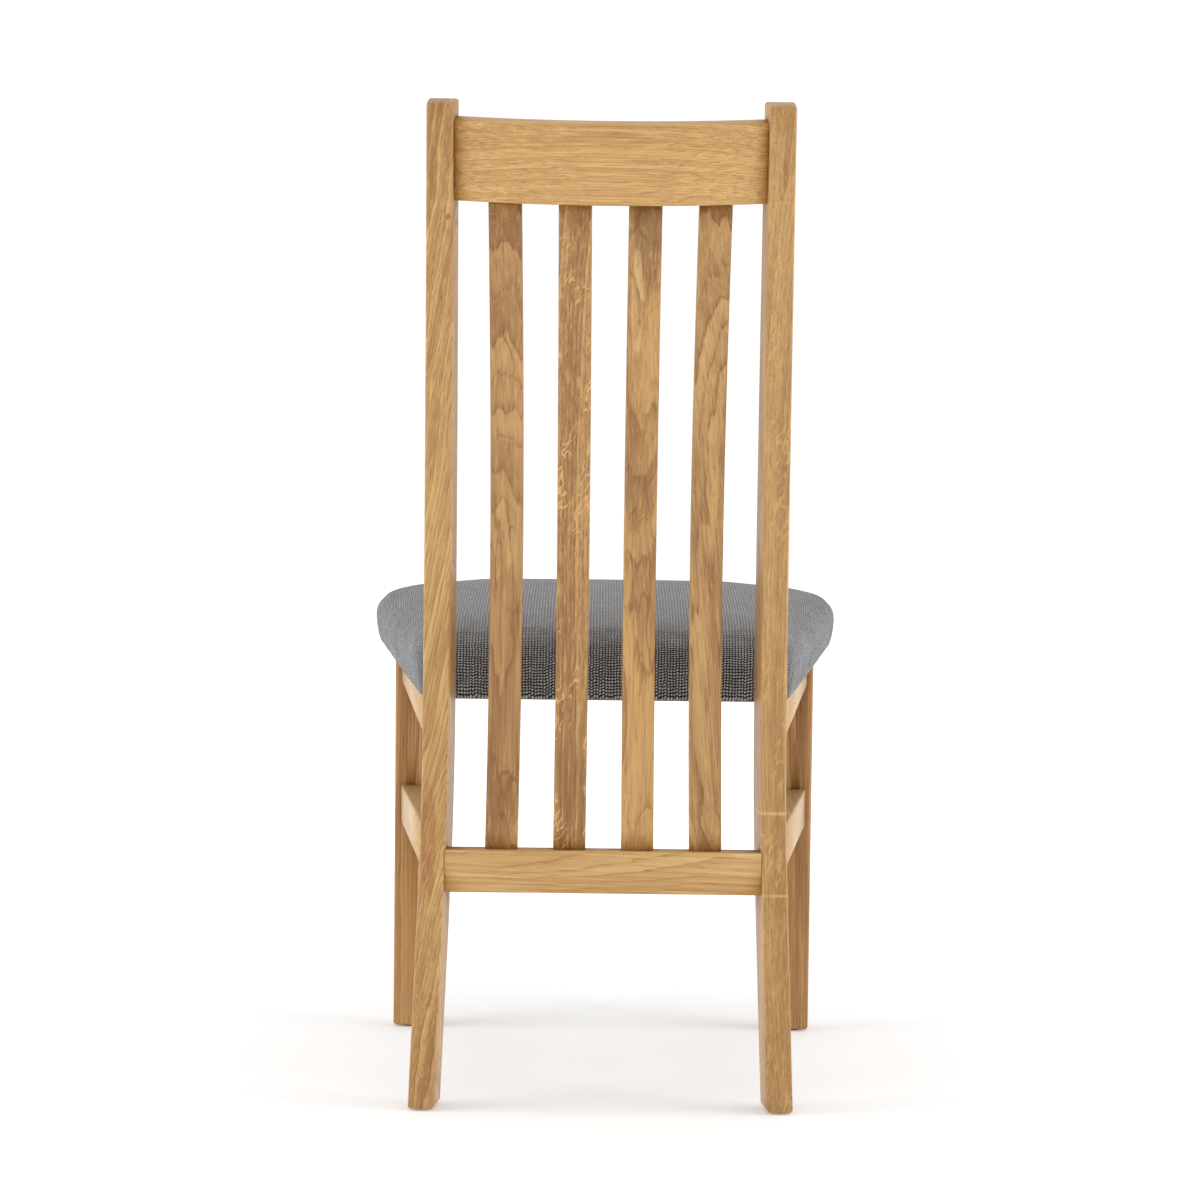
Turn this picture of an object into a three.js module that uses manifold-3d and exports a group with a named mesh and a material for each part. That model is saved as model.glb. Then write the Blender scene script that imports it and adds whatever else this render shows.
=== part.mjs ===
// Dining chair with a slatted back and an upholstered seat.
// Millimetres, +Z up, origin on the floor at the middle of the footprint.
// The chair faces -Y; +X is the sitter's left.
import * as THREE from 'three';
import Module from 'manifold-3d';
import { mergeVertices } from 'three/addons/utils/BufferGeometryUtils.js';

const wasm = await Module();
wasm.setup();

// ---------------------------------------------------------------- sizes
const fitGap = 0.3;              // clearance of every glued or resting fit
const arrisRadius = 2.2;         // rounding along the wooden edges
const backDatumY = 162;          // rear face of the posts where they stand upright

// rear posts
const postTopZ = 992.4;          // top of the rear arris
const postWidth = 25.4;          // width of the rear face
const postDepthFoot = 41;
const postDepthSeat = 45.5;
const postDepthTop = 35;
const postHalfSeat = 182.5;      // outer face from the centre plane, at the knee
const postFootSplay = 9.5;       // further out at the floor
const postTopDraw = 4.5;         // nearer in at the top
const postInnerTurn = 0.128;     // slope of the inner face, facing the curved rail
const kneeZ = 291;               // below this the leg leans backwards
const kneeEase = 37;
const legRake = 0.145;
const backStartZ = 366;          // above this the back leans backwards
const backEase = 56;
const backRake = 0.069;
const backCurve = 0.000118;
const seatLevelZ = 393;          // height where the post is deepest
const postSquareFromZ = 30;      // above this the sections turn square to the post
const postSquareWithin = 150;    // and are wholly square this much higher
const footBevel = 2.4;
const topBevel = 1.6;

// front legs
const frontLegSize = 36;
const frontLegHalf = 232.3;      // outer face from the centre plane
const seatDepth = 370;           // from the posts' rear face to the front legs
const frontLegBackY = backDatumY - seatDepth;
const frontLegRadius = 3;

// seat frame: every top edge lies in one plane that rises to the front
const seatSlope = 0.082;
const seatRailTopZ = 399.5;      // height of that plane at the posts
const seatRailHeight = 36.5;
const sideRailThickness = 22;
const sideRailInset = 7;         // set back from the front leg's outer face
const sideRailRearInset = 0.6;   // set back from the post's outer face
const frontRailThickness = 22;
const frontRailInset = 4;
const crossRailThickness = 22;
const crossRailHeight = 25;
const crossRailY = backDatumY - 222;

// side stretchers
const stretcherTopZ = 273.6;
const stretcherHeight = 41.5;
const stretcherThickness = 22;

// tenons
const tenonThickness = 9;
const tenonShoulder = 5;         // how much narrower than the rail, each side
const tenonRoot = 4;             // how far a tenon reaches back into its own rail
const tenonRadius = 0.5;
const sideTenonRear = 18;
const sideTenonFront = 14;
const frontTenon = 15;
const crossTenon = 7;
const backTenon = 15;
const slatTenon = 10;
const slatTenonCheek = 2;        // how much thinner than the slat, each side

// back
const topRailHeight = 79.5;
const topRailThickness = 23;
const topRailDrop = 50.4;        // its middle below the tops of the posts
const topRailMidZ = postTopZ - topRailDrop;
const topRailSetBack = 9;        // rear face forward of the posts' rear face
const topRailBulge = 17;         // how far its middle bows backwards
const topRailTilt = 0.262;       // radians
const topRailRadius = 3;
const lowRailTopZ = 258;
const lowRailHeight = 43;
const lowRailThickness = 24;
const lowRailSetBack = 1;        // rear face forward of the posts' rear face
const slatCount = 4;
const slatWidth = 32.3;
const slatThickness = 12;
const slatSpacing = 68.2;
const slatSetBack = 8;           // rear face forward of the lower rail's rear face
const slatWaist = 3;             // outer slats curve in by this much at half height
const slatTurn = 0.055;          // outer slats turned in plan, radians
const slatSteps = 22;

// upholstered seat
const padRearGap = 3.5;          // from the posts' front faces
const padFrontOverhang = 6;      // past the front legs, forwards
const padRearOverhang = 8.5;     // past the posts, sideways
const padSideOverhang = 35.2;    // past the front legs, sideways
const padRearY = backDatumY - postDepthSeat - padRearGap;
const padFrontY = frontLegBackY - frontLegSize - padFrontOverhang;
const padRearHalf = postHalfSeat + padRearOverhang;
const padFrontHalf = frontLegHalf + padSideOverhang;
const padFrontBow = 8;
const padRearCorner = 32;
const padFrontCorner = 56;
const padLeastCorner = 8;
const padThickness = 83;
const padCornerLift = 9;         // the front corners' lower edge is drawn up
const padCornerDrop = 0.13;      // and their top is thinner by this share
const coverThickness = 1.5;
const coverReturn = 18;          // width of cloth turned under the board
const boardInset = 21;
const boardThickness = 12;
const dustCoverThickness = 1;
const dustCoverGap = 2;          // from the edge of the turned-in cloth

// fixings
const glideHeight = 2;
const glideRadiusRear = 10;
const glideRadiusFront = 12;
const glidePinRadius = 1.6;
const glidePinLength = 14;
const glideInset = 2;            // inward of the middle of a rear foot
const screwRadius = 2;
const screwHeadRadius = 4;
const screwHeadHeight = 2.6;
const headPocket = 24;           // depth of the pocket that a screw's head goes through
const screwBite = 9;             // how far a seat screw enters the board
const blockThickness = 22;
const blockReach = 46;
const blockRise = 4;             // above the lower edge of the seat rails
const blockTip = 12;             // thickness at the ends of its two arms
const blockScrewLength = 26;
const blockScrewAlong = 35;      // from the leg's face, along the rail
const blockScrewHead = 15;       // depth of wood under the head
const seatScrewFromLeg = 15;     // from both inner faces of the front leg
const rearSeatScrewX = 110;
const cutPast = 5;               // how far a cut runs past the face it opens

const sides = [['left', 1], ['right', -1]];

// -------------------------------------------------------- mesh helpers
const TAU = Math.PI * 2;

function toManifold(geometry) {
  const bare = geometry.clone();
  bare.deleteAttribute('normal');
  bare.deleteAttribute('uv');
  const welded = mergeVertices(bare, 1e-5);
  return new wasm.Manifold(new wasm.Mesh({
    numProp: 3,
    vertProperties: new Float32Array(welded.attributes.position.array),
    triVerts: new Uint32Array(welded.index.array),
  }));
}

function fromManifold(solid) {
  const mesh = solid.getMesh();
  const geometry = new THREE.BufferGeometry();
  geometry.setAttribute('position', new THREE.BufferAttribute(mesh.vertProperties, 3));
  geometry.setIndex(new THREE.BufferAttribute(mesh.triVerts, 1));
  return geometry;
}

// A closed body through rings of points, one fan of triangles at each end.
function loft(rings) {
  const count = rings[0].length;
  const points = rings.flat();
  const faces = [];
  for (let r = 0; r + 1 < rings.length; r += 1) {
    for (let i = 0; i < count; i += 1) {
      const a = r * count + i;
      const b = r * count + (i + 1) % count;
      faces.push([a, b, b + count], [a, b + count, a + count]);
    }
  }
  for (const [ring, turn] of [[0, true], [rings.length - 1, false]]) {
    const middle = [0, 1, 2].map((k) => rings[ring].reduce((sum, p) => sum + p[k], 0) / count);
    const hub = points.push(middle) - 1;
    for (let i = 0; i < count; i += 1) {
      const a = ring * count + i;
      const b = ring * count + (i + 1) % count;
      faces.push(turn ? [hub, b, a] : [hub, a, b]);
    }
  }
  let volume = 0;
  for (const [a, b, c] of faces) {
    const [p, q, s] = [points[a], points[b], points[c]];
    volume += p[0] * (q[1] * s[2] - q[2] * s[1]);
    volume += p[1] * (q[2] * s[0] - q[0] * s[2]);
    volume += p[2] * (q[0] * s[1] - q[1] * s[0]);
  }
  const index = faces.flatMap(([a, b, c]) => (volume > 0 ? [a, b, c] : [a, c, b]));
  const geometry = new THREE.BufferGeometry();
  geometry.setAttribute('position', new THREE.Float32BufferAttribute(points.flat(), 3));
  geometry.setIndex(index);
  return geometry;
}

// Outline of a board's section, u across and v along, with rounded corners.
// u and v run from 0 to the given sizes; inset draws the whole outline in.
function roundedSection(sizeU, sizeV, radius, inset = 0) {
  const steps = 3;
  const r = Math.max(radius, inset + 0.4);
  const corners = [
    [sizeU - r, sizeV - r, 0],
    [r, sizeV - r, 1],
    [r, r, 2],
    [sizeU - r, r, 3],
  ];
  const outline = [];
  for (const [cu, cv, quarter] of corners) {
    for (let i = 0; i <= steps; i += 1) {
      const angle = (quarter + i / steps) * TAU / 4;
      outline.push([cu + (r - inset) * Math.cos(angle), cv + (r - inset) * Math.sin(angle)]);
    }
  }
  return outline;
}

function range(from, to, steps) {
  return Array.from({ length: steps + 1 }, (_, i) => from + (to - from) * i / steps);
}

function smooth(t) {
  const s = Math.min(Math.max(t, 0), 1);
  return s * s * (3 - 2 * s);
}

// A straight bar with a rounded rectangular section between two points.
// wide is measured level across the bar, tall upwards.
function bar(start, end, wide, tall, radius) {
  const from = new THREE.Vector3(...start);
  const to = new THREE.Vector3(...end);
  const along = to.clone().sub(from).normalize();
  const across = new THREE.Vector3().crossVectors(along, new THREE.Vector3(0, 0, 1)).normalize();
  const up = new THREE.Vector3().crossVectors(across, along);
  return loft([from, to].map((point) => roundedSection(wide, tall, radius)
    .map(([u, v]) => point.clone()
      .addScaledVector(across, u - wide / 2)
      .addScaledVector(up, v - tall / 2)
      .toArray())));
}

// A turned body standing on the given point.
function turned(profile, base, segments = 24) {
  const points = profile.map(([r, z]) => new THREE.Vector2(r, z));
  return new THREE.LatheGeometry(points, segments).rotateX(TAU / 4).translate(...base);
}

// -------------------------------------------------------- shape of the back
// Rear face of the posts at a height: the leg below the knee leans back in a
// straight line, and the back leans and curves backwards above the seat.
function postRearY(z) {
  const below = kneeZ - z;
  const above = z - backStartZ;
  const leg = legRake * (below + Math.hypot(below, kneeEase)) / 2;
  const lean = backRake * (above + Math.hypot(above, backEase)) / 2;
  const curl = backCurve * Math.max(above, 0) ** 2;
  return backDatumY + leg + lean + curl;
}

// Sections stand square to the post and turn level toward the foot.
function postSlope(z) {
  const share = smooth((z - postSquareFromZ) / postSquareWithin);
  return (postRearY(z + 1) - postRearY(z - 1)) / 2 * share;
}

function postDepth(z) {
  return z < seatLevelZ
    ? THREE.MathUtils.lerp(postDepthFoot, postDepthSeat, z / seatLevelZ)
    : THREE.MathUtils.lerp(postDepthSeat, postDepthTop, (z - seatLevelZ) / (postTopZ - seatLevelZ));
}

function postHalf(z) {
  const below = kneeZ - z;
  const splay = postFootSplay / kneeZ;
  const lean = postTopDraw / (postTopZ - kneeZ);
  const flare = splay * (below + Math.hypot(below, kneeEase)) / 2;
  return postHalfSeat + flare - lean * Math.max(-below, 0);
}

// Inner face of a post: distance from the centre plane at a point of it.
function postInner(y, z) {
  let station = z;
  for (let i = 0; i < 4; i += 1) {
    station = z - postSlope(station) * (postRearY(station) - y);
  }
  return postHalf(station) - postWidth - postInnerTurn * (postRearY(station) - y);
}

// Front face of a post at a height.
function postFrontY(z) {
  let station = z;
  for (let i = 0; i < 4; i += 1) {
    station = z - postSlope(station) * postDepth(station);
  }
  return postRearY(station) - postDepth(station);
}

// ------------------------------------------------------------ rear posts
function postBody(side) {
  const stations = [
    [glideHeight, footBevel],
    [glideHeight + footBevel, 0],
    ...range(postSquareFromZ, kneeZ - 60, 4).map((z) => [z, 0]),
    ...range(kneeZ - 40, backStartZ + 60, 8).map((z) => [z, 0]),
    ...range(backStartZ + 110, postTopZ - 30, 10).map((z) => [z, 0]),
    [postTopZ - topBevel, 0],
    [postTopZ, topBevel],
  ];
  return loft(stations.map(([z, inset]) => {
    const depth = postDepth(z);
    const slope = postSlope(z);
    return roundedSection(postWidth, depth, arrisRadius, inset).map(([u, v]) => {
      const y = postRearY(z) - v;
      const widen = (1 - u / postWidth) * postInnerTurn * v;
      return [side * (postHalf(z) - postWidth + u - widen), y, z + slope * v];
    });
  }));
}

// ------------------------------------------------------------ front legs
function seatPlaneZ(y) {
  return seatRailTopZ + seatSlope * (postFrontY(seatRailTopZ) - y);
}

const frontLegX = frontLegHalf - frontLegSize / 2;
const frontLegY = frontLegBackY - frontLegSize / 2;
const frontLegFrontY = frontLegBackY - frontLegSize;

// The top of a front leg is cut along the seat plane.
function frontLegBody(side) {
  const stations = [
    [glideHeight, footBevel],
    [glideHeight + footBevel, 0],
    [null, 0],
  ];
  return loft(stations.map(([z, inset]) => roundedSection(
    frontLegSize, frontLegSize, frontLegRadius, inset,
  ).map(([u, v]) => {
    const y = frontLegFrontY + v;
    return [side * (frontLegX - frontLegSize / 2 + u), y, z ?? seatPlaneZ(y)];
  })));
}

// ------------------------------------------- side rails and stretchers
// Outer face of the side members, from the centre plane.
function sideFaceX(y, z) {
  const rearY = postFrontY(z);
  const rearX = postHalf(z) - sideRailRearInset;
  const frontX = frontLegHalf - sideRailInset;
  return rearX + (frontX - rearX) * (rearY - y) / (rearY - frontLegBackY);
}

// A side member follows the line from post to leg; its ends fit their faces.
function sideMember(side, topAt, height, thickness) {
  const stations = range(0, 1, 2);
  return loft(stations.map((t) => roundedSection(thickness, height, arrisRadius)
    .map(([u, v]) => {
      const rearY = postFrontY(topAt(postFrontY(seatRailTopZ)) - height + v) - fitGap;
      const frontY = frontLegBackY + fitGap;
      const y = rearY + (frontY - rearY) * t;
      const z = topAt(y) - height + v;
      return [side * (sideFaceX(y, z) - thickness + u), y, z];
    })));
}

// Straight tongue on the end of a side member, grown by gap for its mortise.
function sideTenon(side, topAt, height, thickness, rear, gap) {
  const midZ = (y) => topAt(y) - height / 2;
  const length = (rear ? sideTenonRear : sideTenonFront) + gap;
  const faceY = rear ? postFrontY(topAt(postFrontY(seatRailTopZ)) - height / 2) : frontLegBackY;
  const away = rear ? 1 : -1;
  const rootY = faceY - away * tenonRoot;
  const tipY = faceY + away * length;
  const x = (y) => side * (sideFaceX(y, midZ(y)) - thickness / 2);
  return bar(
    [x(rootY), rootY, midZ(rootY)],
    [x(tipY), tipY, midZ(tipY)],
    tenonThickness + gap * 2,
    height - tenonShoulder * 2 + gap * 2,
    tenonRadius,
  );
}

const sideMembers = [
  {
    name: 'side_seat_rail',
    topAt: seatPlaneZ,
    height: seatRailHeight,
    thickness: sideRailThickness,
  },
  {
    name: 'side_stretcher',
    topAt: () => stretcherTopZ,
    height: stretcherHeight,
    thickness: stretcherThickness,
  },
];

// ------------------------------------------------------- rails across
// A rail between the two posts or legs. sectionAt(u) gives its middle in y and
// z and its tilt; halfAt(y, z) gives the distance its shoulders may reach.
function acrossRail(sectionAt, halfAt, thickness, height, radius, steps) {
  return loft(range(-1, 1, steps).map((t) => {
    const { y: midY, z: midZ, tilt } = sectionAt(t);
    return roundedSection(thickness, height, radius).map(([u, v]) => {
      const across = u - thickness / 2;
      const up = v - height / 2;
      const y = midY + across * Math.cos(tilt) + up * Math.sin(tilt);
      const z = midZ - across * Math.sin(tilt) + up * Math.cos(tilt);
      return [t * (halfAt(y, z) - fitGap), y, z];
    });
  }));
}

function acrossTenon(side, section, faceX, length, height, gap) {
  const thickness = tenonThickness + gap * 2;
  const tall = height - tenonShoulder * 2 + gap * 2;
  return new THREE.BoxGeometry(length + tenonRoot + gap, thickness, tall)
    .rotateX(-section.tilt)
    .translate(side * (faceX + (length - tenonRoot + gap) / 2), section.y, section.z);
}

function topRailSection(t) {
  const rearY = postRearY(topRailMidZ) - topRailSetBack;
  const bow = topRailBulge * (1 - t * t);
  return {
    y: rearY - topRailThickness / 2 + bow,
    z: topRailMidZ - bow * Math.tan(topRailTilt),
    tilt: topRailTilt,
  };
}

const lowRailMidZ = lowRailTopZ - lowRailHeight / 2;

function lowRailSection() {
  const rearY = postRearY(lowRailMidZ) - lowRailSetBack;
  return { y: rearY - lowRailThickness / 2, z: lowRailMidZ, tilt: 0 };
}

// A rail square to the seat plane with its top edge in it.
function hungUnderSeat(y, height) {
  const z = seatPlaneZ(y) - height / 2 * Math.hypot(1, seatSlope);
  return { y, z, tilt: Math.atan(seatSlope) };
}

function frontRailSection() {
  const y = frontLegFrontY + frontRailInset + frontRailThickness / 2;
  return hungUnderSeat(y, seatRailHeight);
}

// How far back the leaning front rail reaches, and a fit's clearance more.
function frontRailRearY() {
  const { y, tilt } = frontRailSection();
  const reach = frontRailThickness * Math.cos(tilt) + seatRailHeight * Math.sin(tilt);
  return y + reach / 2 + fitGap;
}

function crossRailSection() {
  return hungUnderSeat(crossRailY, crossRailHeight);
}

const sideInnerX = (y, z) => sideFaceX(y, z) - sideRailThickness;
const legInnerX = () => frontLegHalf - frontLegSize;

const acrossRails = [
  {
    name: 'top_rail',
    sectionAt: topRailSection,
    halfAt: postInner,
    thickness: topRailThickness,
    height: topRailHeight,
    radius: topRailRadius,
    steps: 20,
    tenon: backTenon,
    holder: 'rear_post',
  },
  {
    name: 'lower_back_rail',
    sectionAt: lowRailSection,
    halfAt: postInner,
    thickness: lowRailThickness,
    height: lowRailHeight,
    radius: arrisRadius,
    steps: 4,
    tenon: backTenon,
    holder: 'rear_post',
  },
  {
    name: 'front_seat_rail',
    sectionAt: frontRailSection,
    halfAt: legInnerX,
    thickness: frontRailThickness,
    height: seatRailHeight,
    radius: arrisRadius,
    steps: 4,
    tenon: frontTenon,
    holder: 'front_leg',
  },
  {
    name: 'seat_cross_rail',
    sectionAt: crossRailSection,
    halfAt: sideInnerX,
    thickness: crossRailThickness,
    height: crossRailHeight,
    radius: arrisRadius,
    steps: 4,
    tenon: crossTenon,
    holder: 'side_seat_rail',
  },
];

// ---------------------------------------------------------------- slats
// Each slat stands on the lower rail and enters the curved top rail. It is
// numbered from the sitter's right.
const slatFootZ = lowRailTopZ + fitGap;

function slatPlace(index) {
  return (index - (slatCount - 1) / 2) * slatSpacing;
}

function topRailAt(x) {
  return topRailSection(x / postInner(postRearY(topRailMidZ), topRailMidZ));
}

// Middle of the top rail's underside at a distance from the centre plane.
function topRailUnder(x) {
  const section = topRailAt(x);
  return {
    y: section.y - Math.sin(section.tilt) * topRailHeight / 2,
    z: section.z - Math.cos(section.tilt) * topRailHeight / 2,
  };
}

// Middle of a slat at fraction t of its height.
function slatCentre(index, t) {
  const x = slatPlace(index);
  const under = topRailUnder(x);
  const footY = lowRailSection().y + lowRailThickness / 2 - slatSetBack - slatThickness / 2;
  const z = slatFootZ + (under.z - slatFootZ) * t;
  const footShift = footY - postRearY(slatFootZ);
  const headShift = under.y - postRearY(under.z);
  const y = postRearY(z) + footShift + (headShift - footShift) * smooth(t);
  const outer = slatPlace(slatCount - 1);
  return { x: x - slatWaist * (x / outer) * Math.sin(Math.PI * t), y, z, turn: slatTurn * x / outer };
}

// Points of a slat's level section, each with its distance through the slat.
function slatSection(index, t) {
  const { x, y, z, turn } = slatCentre(index, t);
  return roundedSection(slatWidth, slatThickness, arrisRadius).map(([u, v]) => {
    const across = u - slatWidth / 2;
    const through = v - slatThickness / 2;
    return [
      x + across * Math.cos(turn) + through * Math.sin(turn),
      y - across * Math.sin(turn) + through * Math.cos(turn),
      z,
      through,
    ];
  });
}

// The head of a slat is cut to the slant of the rail above it, and stops short
// of it by the fit's clearance, measured upright.
function slatBody(index) {
  const headSlope = Math.tan(topRailTilt);
  const headGap = fitGap / Math.cos(topRailTilt) ** 2 + slatBowRise(index);
  return loft(range(0, 1, slatSteps).map((t) => slatSection(index, t).map(([x, y, z, through]) => {
    const slant = through * headSlope * smooth(t * 2 - 1);
    return [x, y, z - slant - (t === 1 ? headGap : 0)];
  })));
}

// The rail above a slat bows, so its underside falls a little across the slat.
function slatBowRise(index) {
  const reach = slatWidth / 2;
  const middle = topRailUnder(slatPlace(index)).z;
  return Math.max(...[-reach, reach].map((u) => middle - topRailUnder(slatPlace(index) + u).z), 0);
}

function slatTenons(index, gap) {
  const width = slatWidth - tenonShoulder * 2 + gap * 2;
  const thickness = slatThickness - slatTenonCheek * 2 + gap * 2;
  const foot = slatCentre(index, 0);
  const head = slatCentre(index, 1);
  const length = slatTenon + tenonRoot + gap;
  const middle = length / 2 - tenonRoot;
  const lower = new THREE.BoxGeometry(width, thickness, length)
    .rotateZ(-foot.turn)
    .translate(foot.x, foot.y, foot.z - middle);
  const upper = new THREE.BoxGeometry(width, thickness, length)
    .rotateZ(-head.turn)
    .rotateX(-topRailTilt)
    .translate(
      head.x,
      head.y + Math.sin(topRailTilt) * middle,
      head.z + Math.cos(topRailTilt) * middle,
    );
  return [toManifold(lower), toManifold(upper)];
}

// ------------------------------------------------------- upholstered seat
// Rounded plan of the seat, drawn in by inset; the same number of points
// whatever the inset.
function padOutline(inset) {
  const rearY = padRearY - inset;
  const frontY = padFrontY + inset;
  const flare = (padFrontHalf - padRearHalf) / (padRearY - padFrontY);
  const slant = Math.hypot(1, flare);
  const halfAt = (y) => padRearHalf + flare * (padRearY - y) - inset * slant;
  const lean = Math.atan(flare);
  const frontRadius = Math.max(padFrontCorner - inset, padLeastCorner);
  const rearRadius = Math.max(padRearCorner - inset, padLeastCorner);
  const corners = [
    { x: 1, y: frontY, out: -1, radius: frontRadius },
    { x: 1, y: rearY, out: 1, radius: rearRadius },
    { x: -1, y: rearY, out: 1, radius: rearRadius },
    { x: -1, y: frontY, out: -1, radius: frontRadius },
  ];
  const points = [];
  const arcSteps = 8;
  for (const { x, y, out, radius } of corners) {
    const centreY = y - out * radius;
    const centreX = halfAt(centreY) - radius * slant;
    const turns = range(lean, out * TAU / 4, arcSteps);
    const ordered = (x * out > 0) ? turns : turns.reverse();
    for (const angle of ordered) {
      points.push([x * (centreX + radius * Math.cos(angle)), centreY + radius * Math.sin(angle)]);
    }
  }
  const filled = [];
  const between = 6;
  points.forEach((point, i) => {
    const next = points[(i + 1) % points.length];
    filled.push(point);
    if (i % (arcSteps + 1) === arcSteps) {
      for (let k = 1; k < between; k += 1) {
        filled.push([0, 1].map((axis) => point[axis] + (next[axis] - point[axis]) * k / between));
      }
    }
  });
  return filled.map(([px, py]) => {
    const forward = smooth((padRearY - py) / (padRearY - padFrontY));
    return [px, py - padFrontBow * forward * (1 - (px / padFrontHalf) ** 2)];
  });
}

// Profile of the stuffed seat: how far in from the plan, and how high as a
// share of the thickness.
const padProfile = [
  [16, 0],
  [9, 0.012],
  [5.5, 0.06],
  [3.2, 0.17],
  [1.4, 0.34],
  [0, 0.5],
  [1.2, 0.62],
  [5, 0.73],
  [12, 0.805],
  [23, 0.862],
  [40, 0.91],
  [66, 0.95],
  [100, 0.982],
  [145, 1],
];

// How near a point of the plan is to a front corner, 0 to 1.
function cornerShare(x, y) {
  const forward = (padRearY - y) / (padRearY - padFrontY);
  const outward = Math.abs(x) / (padRearHalf + (padFrontHalf - padRearHalf) * forward);
  return smooth(forward * 1.1 - 0.1) * smooth((outward - 0.45) / 0.5);
}

// The stuffed shape, its surface set in all round by inset.
function padBody(inset) {
  const last = padProfile.length - 1;
  return loft(padProfile.map(([draw, share], i) => {
    const [drawBefore, shareBefore] = padProfile[Math.max(i - 1, 0)];
    const [drawAfter, shareAfter] = padProfile[Math.min(i + 1, last)];
    const rise = (i === 0 || i === last) ? 0 : (shareAfter - shareBefore) * padThickness;
    const run = i === 0 ? -1 : drawAfter - drawBefore;
    const step = Math.hypot(rise, run);
    const height = share * padThickness - inset * run / step;
    return padOutline(draw + inset * rise / step).map(([x, y]) => {
      const drop = padCornerLift + padCornerDrop * padThickness;
      const lift = i === 0 ? 0 : cornerShare(x, y) * (padCornerLift - share * drop);
      return [x, y, padPlaneZ(y) + height + lift];
    });
  }));
}

function padPlaneZ(y) {
  return seatPlaneZ(y) + fitGap;
}

// A slab that follows the seat plane under a share of the pad's plan.
function padSlab(inset, low, high) {
  return loft([low, high].map((lift) => padOutline(inset)
    .map(([x, y]) => [x, y, padPlaneZ(y) + lift])));
}

// ---------------------------------------------------------- build it all
const solids = {};

for (const [label, side] of sides) {
  let post = toManifold(postBody(side));
  let leg = toManifold(frontLegBody(side));
  for (const { name, topAt, height, thickness } of sideMembers) {
    let member = toManifold(sideMember(side, topAt, height, thickness));
    for (const rear of [true, false]) {
      member = member.add(toManifold(sideTenon(side, topAt, height, thickness, rear, 0)));
      const mortise = toManifold(sideTenon(side, topAt, height, thickness, rear, fitGap));
      if (rear) {
        post = post.subtract(mortise);
      } else {
        leg = leg.subtract(mortise);
      }
    }
    solids[`${name}_${label}`] = member;
  }
  solids[`rear_post_${label}`] = post;
  solids[`front_leg_${label}`] = leg;
}

for (const rail of acrossRails) {
  const { name, sectionAt, halfAt, thickness, height, radius, steps, tenon, holder } = rail;
  let body = toManifold(acrossRail(sectionAt, halfAt, thickness, height, radius, steps));
  for (const [label, side] of sides) {
    const section = sectionAt(side);
    const faceX = halfAt(section.y, section.z);
    body = body.add(toManifold(acrossTenon(side, section, faceX, tenon, height, 0)));
    const mortise = toManifold(acrossTenon(side, section, faceX, tenon, height, fitGap));
    solids[`${holder}_${label}`] = solids[`${holder}_${label}`].subtract(mortise);
  }
  solids[name] = body;
}

for (let index = 0; index < slatCount; index += 1) {
  const [lower, upper] = slatTenons(index, 0);
  solids[`back_slat_${index + 1}`] = toManifold(slatBody(index)).add(lower).add(upper);
  const [lowerSlot, upperSlot] = slatTenons(index, fitGap);
  solids.lower_back_rail = solids.lower_back_rail.subtract(lowerSlot);
  solids.top_rail = solids.top_rail.subtract(upperSlot);
}

// Glides: a low disc under each foot with a pin driven into the end grain.
function glideProfile(radius, gap) {
  const top = glideHeight + glidePinLength + gap;
  return [
    [0, 0],
    [radius - 1, 0],
    [radius, 1],
    [radius, glideHeight - fitGap],
    [glidePinRadius + gap, glideHeight - fitGap],
    [glidePinRadius + gap, top - 1],
    [0, top],
  ];
}

const feet = [
  {
    end: 'rear',
    holder: 'rear_post',
    x: postHalf(0) - postWidth / 2 - glideInset,
    y: postRearY(0) - postDepthFoot / 2,
    radius: glideRadiusRear,
  },
  { end: 'front', holder: 'front_leg', x: frontLegX, y: frontLegY, radius: glideRadiusFront },
];
for (const { end, holder, x, y, radius } of feet) {
  for (const [label, side] of sides) {
    const place = [side * x, y, 0];
    solids[`foot_glide_${end}_${label}`] = toManifold(turned(glideProfile(radius, 0), place));
    const hole = toManifold(turned(glideProfile(radius, fitGap), place));
    solids[`${holder}_${label}`] = solids[`${holder}_${label}`].subtract(hole);
  }
}

// Seat: board, foam round and over it, cloth stretched over the foam.
const boardLow = coverThickness + fitGap;
const boardHigh = boardLow + boardThickness;
const mouthInset = boardInset + coverReturn;
const boardSpace = toManifold(padSlab(boardInset - fitGap, -cutPast, boardHigh + fitGap));
const clothCavity = toManifold(padBody(coverThickness));
const clothMouth = toManifold(padSlab(mouthInset, -cutPast, boardLow + cutPast));
solids.seat_board = toManifold(padSlab(boardInset, boardLow, boardHigh));
solids.seat_foam = toManifold(padBody(coverThickness + fitGap)).subtract(boardSpace);
solids.seat_cover = toManifold(padBody(0)).subtract(clothCavity).subtract(clothMouth);
solids.dust_cover = toManifold(padSlab(
  mouthInset + dustCoverGap,
  coverThickness - dustCoverThickness,
  coverThickness,
));

// Corner blocks stand in the angle of the front rail and each side rail.
const blockLowZ = seatPlaneZ(frontRailRearY()) - seatRailHeight + blockRise;

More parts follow.
